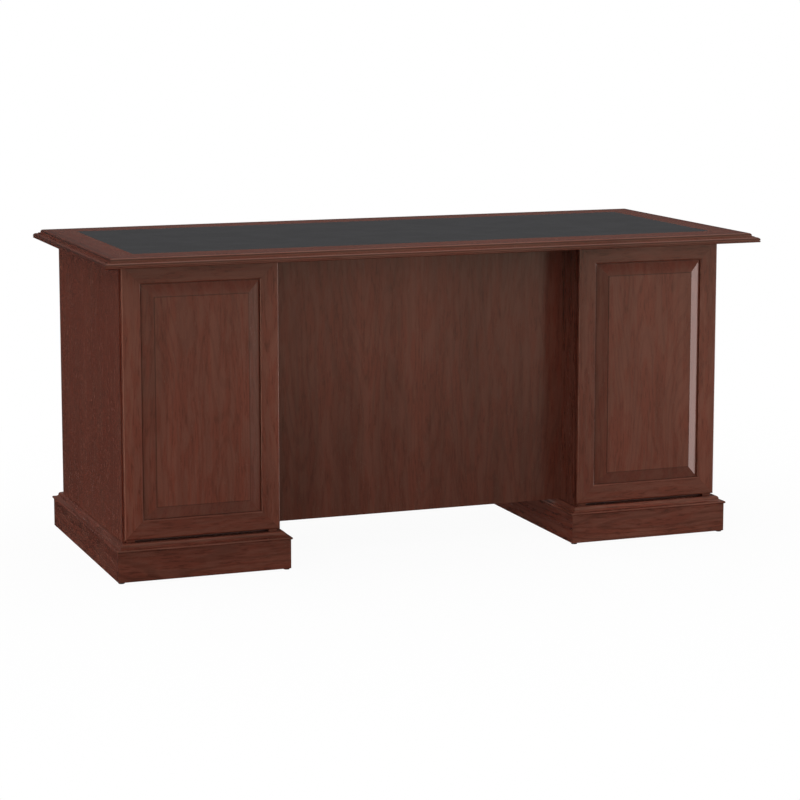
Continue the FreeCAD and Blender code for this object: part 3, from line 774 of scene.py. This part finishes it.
class DESK_OT_brass(bpy.types.Operator):
    """Finish the pulls and the lock"""
    bl_idname = "desk.brass"
    bl_label = "Pulls and lock"

    def execute(self, context):
        names = [f"{drawer}_pull" for drawer in DRAWERS] + ["lock_barrel", "lock_plug"]
        dress(names, brass_material(context.scene.desk_metal))
        return {"FINISHED"}


class DESK_OT_glides(bpy.types.Operator):
    """Finish the floor glides"""
    bl_idname = "desk.glides"
    bl_label = "Floor glides"

    def execute(self, context):
        dress(["floor_glides"], glide_material(context.scene.desk_metal))
        return {"FINISHED"}


class DESK_OT_screws(bpy.types.Operator):
    """Model the screws of the brackets and of the pulls"""
    bl_idname = "desk.screws"
    bl_label = "Screws"

    def execute(self, context):
        material = steel_material(context.scene.desk_metal)
        screw = model_screw(*BRACKET_SCREW)
        set_screws("bracket_screws", screw, bracket_places(), "desk_frame", material)
        bpy.data.objects.remove(screw)
        screw = model_screw(*PULL_SCREW)
        for drawer in DRAWERS:
            set_screws(f"{drawer}_pull_screws", screw, pull_places(drawer), drawer, material)
        bpy.data.objects.remove(screw)
        return {"FINISHED"}


def model_screw(radius, height):
    """A pan-head screw with a cross recess, seated on the origin and facing up."""
    bpy.ops.object.select_all(action="DESELECT")
    bpy.ops.mesh.primitive_cylinder_add(vertices=24, radius=radius, depth=height, location=(0, 0, height / 2))
    screw = bpy.context.object
    bpy.ops.object.transform_apply()
    bpy.ops.object.mode_set(mode="EDIT")
    mesh = bmesh.from_edit_mesh(screw.data)
    for face in mesh.faces:
        face.select_set(face.normal.z > 0.9)
    bpy.ops.mesh.inset(thickness=0.45 * radius, depth=0.25 * height)
    bpy.ops.mesh.select_all(action="DESELECT")
    bpy.ops.mesh.select_mode(type="EDGE")
    mesh = bmesh.from_edit_mesh(screw.data)
    for edge in mesh.edges:
        edge.select_set(all(0.9 < corner.co.z / height < 1.1 for corner in edge.verts))
    bpy.ops.mesh.bevel(offset=0.15 * radius, segments=3)
    bpy.ops.object.mode_set(mode="OBJECT")
    for turn in (0, math.pi / 2):
        bpy.ops.mesh.primitive_cube_add(
            size=1, location=(0, 0, 1.3 * height), rotation=(0, 0, turn), scale=(radius, 0.22 * radius, 1.4 * height))
        blade = bpy.context.object
        bpy.context.view_layer.objects.active = screw
        recess = screw.modifiers.new("recess", "BOOLEAN")
        recess.object = blade
        recess.operation = "DIFFERENCE"
        bpy.ops.object.modifier_apply(modifier=recess.name)
        bpy.data.objects.remove(blade)
    bpy.ops.object.select_all(action="DESELECT")
    screw.select_set(True)
    bpy.ops.object.shade_smooth_by_angle(angle=SCREW_SMOOTH_ANGLE)
    return screw


def set_screws(name, screw, places, body, material):
    """Joins a copy of the screw at each place and facing into one piece that rides on the body."""
    copies = []
    for place, facing in places:
        copy = bpy.data.objects.new(name, screw.data.copy())
        turn = Vector((0, 0, 1)).rotation_difference(facing).to_matrix().to_4x4()
        copy.data.transform(Matrix.Translation(place) @ turn)
        bpy.context.collection.objects.link(copy)
        copies.append(copy)
    piece = join_pieces(name, copies, material)
    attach(piece, body)


def bracket_places():
    """Two screws in each corner bracket, one through each leg."""
    low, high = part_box("corner_brackets")
    panel_low, panel_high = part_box("modesty_panel")
    leg_middle = (high.y - low.y + BRACKET_GAUGE) / 2
    face, out = low.y + BRACKET_GAUGE, low.y + leg_middle
    places = []
    for sign in (-1, 1):
        x = sign * BRACKET_TOP_SHARE * high.x
        places.append((Vector((x, face, high.z - leg_middle)), Vector((0, 1, 0))))
        places.append((Vector((x, out, high.z - BRACKET_GAUGE)), Vector((0, 0, -1))))
        for share in BRACKET_SIDE_SHARES:
            z = panel_low.z + share * (panel_high.z - panel_low.z)
            places.append((Vector((sign * (high.x - leg_middle), face, z)), Vector((0, 1, 0))))
            places.append((Vector((sign * (high.x - BRACKET_GAUGE), out, z)), Vector((-sign, 0, 0))))
    return places


def pull_places(drawer):
    """Screws through the box's front board into the feet of the drawer's pulls."""
    low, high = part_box(f"{drawer}_pull")
    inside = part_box(f"{drawer}_box")[1].y - BOX_BOARD
    starts = (low.x + PULL_FOOT, high.x - PULL_FOOT - PULL_SPAN)
    feet = {round(start + offset, 6) for start in starts for offset in (0, PULL_SPAN)}
    return [(Vector((x, inside, (low.z + high.z) / 2)), Vector((0, -1, 0))) for x in sorted(feet)]


# Studio


def aimed(place, target):
    """Turn of a lamp or card that stands at place and faces target."""
    return (Vector(target) - Vector(place)).to_track_quat("-Z", "Y").to_euler()


def add_lamp(name, place, target, width, height, power):
    """A soft rectangular lamp that stays out of the lacquer's reflections."""
    bpy.ops.object.light_add(type="AREA", location=place, rotation=aimed(place, target))
    lamp = bpy.context.object
    lamp.name = name
    lamp.data.shape = "RECTANGLE"
    lamp.data.size = width
    lamp.data.size_y = height
    lamp.data.energy = power
    lamp.visible_camera = False
    lamp.visible_glossy = False


def add_board(name, place, target, width, height, material, hidden):
    """A flat board of the studio, hidden from some kinds of ray."""
    bpy.ops.mesh.primitive_plane_add(size=1, location=place, rotation=aimed(place, target))
    board = bpy.context.object
    board.name = name
    board.scale = (width, height, 1)
    board.data.materials.append(material)
    for ray in hidden:
        setattr(board, f"visible_{ray}", False)


def add_card(name, place, target, width, height, strength, tint):
    """A bright card that only shows in the lacquer and the metal."""
    material, tree, shader = new_material(name)
    tree.nodes.remove(shader)
    glow = add_node(tree, "ShaderNodeEmission", {"Color": opaque(tint), "Strength": strength})
    feed(tree, tree.nodes["Material Output"].inputs["Surface"], glow.outputs[0])
    material.cycles.emission_sampling = "NONE"
    hidden = ("camera", "diffuse", "shadow", "transmission")
    add_board(name, place, target, width, height, material, hidden)


def add_flag(name, place, target, width, height):
    """A black board that only shades a lamp."""
    material, _, shader = new_material(name)
    shader.inputs["Base Color"].default_value = FLAG_BLACK
    hidden = ("camera", "diffuse", "glossy", "transmission")
    add_board(name, place, target, width, height, material, hidden)


class DESK_OT_studio(bpy.types.Operator):
    """Set the floor, the light all round, the lamps, the cards and the camera"""
    bl_idname = "desk.studio"
    bl_label = "Studio"

    def execute(self, context):
        scene = context.scene
        look = scene.desk_studio
        bpy.ops.object.select_all(action="DESELECT")
        self.add_floor(look)
        self.light_all_round(scene, look)
        for name, lamp in LAMPS.items():
            add_lamp(f"{name}_lamp", *lamp, getattr(look, name))
        add_card("right_card", *RIGHT_CARD, look.right_card, RIGHT_CARD_TINT)
        add_card("left_card", *LEFT_CARD, look.left_card, LEFT_CARD_TINT)
        add_flag("key_flag", *KEY_FLAG)
        bpy.ops.object.camera_add(location=look.camera, rotation=(math.pi / 2 - look.tilt, 0, -look.turn))
        camera = bpy.context.object
        camera.name = "photo_camera"
        camera.data.lens = look.lens
        camera.data.sensor_width = SENSOR_WIDTH
        camera.data.shift_y = -look.shift
        scene.camera = camera
        scene.view_settings.view_transform = "Standard"
        return {"FINISHED"}

    def add_floor(self, look):
        """Pale floor that stays white to the camera apart from the desk's soft shadow."""
        bpy.ops.mesh.primitive_plane_add(size=FLOOR_SIZE, location=(0, 0, 0))
        floor = bpy.context.object
        floor.name = "floor"
        material, tree, shader = new_material("floor")
        place = place_on_piece(tree)
        speck = noise(tree, place, (40, 40, 40), 3.0)
        seen = tree.nodes.new("ShaderNodeLightPath").outputs
        dull = mix_colour(tree, speck, opaque(look.floor), opaque(look.floor, 0.985))
        feed(tree, shader.inputs["Base Color"], mix_colour(tree, seen["Is Camera Ray"], dull, FLOOR_SEEN))
        shader.inputs["Roughness"].default_value = 0.9
        shader.inputs["Specular IOR Level"].default_value = 0.0
        glow = add_node(tree, "ShaderNodeEmission", {"Color": WHITE, "Strength": 1.0})
        oval = vector_maths(tree, "MULTIPLY", place, (0.75, 1.2, 0))
        reach = add_node(tree, "ShaderNodeVectorMath", {0: oval}, operation="LENGTH").outputs["Value"]
        direct = maths(tree, "MAXIMUM", seen["Is Camera Ray"], seen["Is Transmission Ray"])
        share = maths(tree, "MULTIPLY", direct, ramp(tree, reach, 0.8, 2.2, 0.95, 1.0))
        blend = add_node(tree, "ShaderNodeMixShader", {0: share, 1: shader.outputs[0], 2: glow.outputs[0]})
        feed(tree, tree.nodes["Material Output"].inputs["Surface"], blend.outputs[0])
        floor.data.materials.append(material)
        floor.visible_glossy = False

    def light_all_round(self, scene, look):
        """White to the camera, soft light on the desk, and a darker floor side in its reflections."""
        world = scene.world or bpy.data.worlds.new("studio")
        scene.world = world
        world.use_nodes = True
        world.cycles.sampling_method = "NONE"
        tree = world.node_tree
        tree.nodes.clear()
        x, y, z = split(tree, tree.nodes.new("ShaderNodeTexCoord").outputs["Generated"])
        seen = tree.nodes.new("ShaderNodeLightPath").outputs
        soft = ramp(tree, x, -1.0, 1.0, look.left_sky, look.right_sky)
        soft = maths(tree, "MULTIPLY", soft, ramp(tree, z, 0.0, 0.5, 1.7, 0.65))
        wall = maths(tree, "MULTIPLY", ramp(tree, z, -0.23, -0.13), ramp(tree, y, -0.4, 0.2, look.front_glow, 0.0))
        wall = maths(tree, "MULTIPLY", wall, ramp(tree, x, 0.2, 0.5, 0.7, 1.3))
        wall = maths(tree, "MULTIPLY", wall, ramp(tree, z, 0.1, 0.5, 1.0, 0.35))
        level = ramp(tree, z, -0.1, 0.05, 0.35 * look.back_glow, look.back_glow)
        above = ramp(tree, z, 0.3, 0.75, 0.0, look.top_glow)
        above = maths(tree, "MULTIPLY", above, ramp(tree, y, -0.5, 0.2, 0.4, 1.0))
        mirrored = maths(tree, "ADD", wall, maths(tree, "ADD", level, above))
        strength = add_node(tree, "ShaderNodeMix", {0: seen["Is Glossy Ray"], 2: soft, 3: mirrored}).outputs[0]
        studio = add_node(tree, "ShaderNodeBackground", {"Color": WHITE, "Strength": strength})
        white = add_node(tree, "ShaderNodeBackground", {"Color": WHITE, "Strength": 1.0})
        direct = maths(tree, "MAXIMUM", seen["Is Camera Ray"], seen["Is Transmission Ray"])
        blend = add_node(tree, "ShaderNodeMixShader", {0: direct, 1: studio.outputs[0], 2: white.outputs[0]})
        out = tree.nodes.new("ShaderNodeOutputWorld")
        feed(tree, out.inputs["Surface"], blend.outputs[0])


PIECE_OPERATORS = (
    DESK_OT_top, DESK_OT_inlay, DESK_OT_panels, DESK_OT_frames, DESK_OT_rabbet_blocks, DESK_OT_plinths,
    DESK_OT_drawer_fronts, DESK_OT_drawer_boxes, DESK_OT_carcass, DESK_OT_slides, DESK_OT_brass, DESK_OT_glides,
    DESK_OT_screws, DESK_OT_studio,
)
LOOKS = {
    "desk_cherry": CherryLook, "desk_leather": LeatherLook, "desk_inside": InsideLook,
    "desk_metal": MetalLook, "desk_studio": StudioLook,
}


class DESK_PT_panel(bpy.types.Panel):
    """Lists the desk's pieces and their settings"""
    bl_idname = "DESK_PT_panel"
    bl_label = "Executive desk"
    bl_space_type = "VIEW_3D"
    bl_region_type = "UI"
    bl_category = "Desk"

    def draw(self, context):
        for operator in PIECE_OPERATORS:
            self.layout.operator(operator.bl_idname)
        for name, look in LOOKS.items():
            box = self.layout.box()
            for setting in look.__annotations__:
                box.prop(getattr(context.scene, name), setting)


def register():
    for look in LOOKS.values():
        bpy.utils.register_class(look)
    for name, look in LOOKS.items():
        setattr(bpy.types.Scene, name, PointerProperty(type=look))
    for operator in PIECE_OPERATORS:
        bpy.utils.register_class(operator)
    bpy.utils.register_class(DESK_PT_panel)


def unregister():
    bpy.utils.unregister_class(DESK_PT_panel)
    for operator in reversed(PIECE_OPERATORS):
        bpy.utils.unregister_class(operator)
    for name in LOOKS:
        delattr(bpy.types.Scene, name)
    for look in LOOKS.values():
        bpy.utils.unregister_class(look)


def main():
    register()
    bpy.ops.desk.top()
    bpy.ops.desk.inlay()
    bpy.ops.desk.panels()
    bpy.ops.desk.frames()
    bpy.ops.desk.rabbet_blocks()
    bpy.ops.desk.plinths()
    bpy.ops.desk.drawer_fronts()
    bpy.ops.desk.drawer_boxes()
    bpy.ops.desk.carcass()
    bpy.ops.desk.slides()
    bpy.ops.desk.brass()
    bpy.ops.desk.glides()
    bpy.ops.desk.screws()
    bpy.ops.desk.studio()


if __name__ == "__main__":
    main()
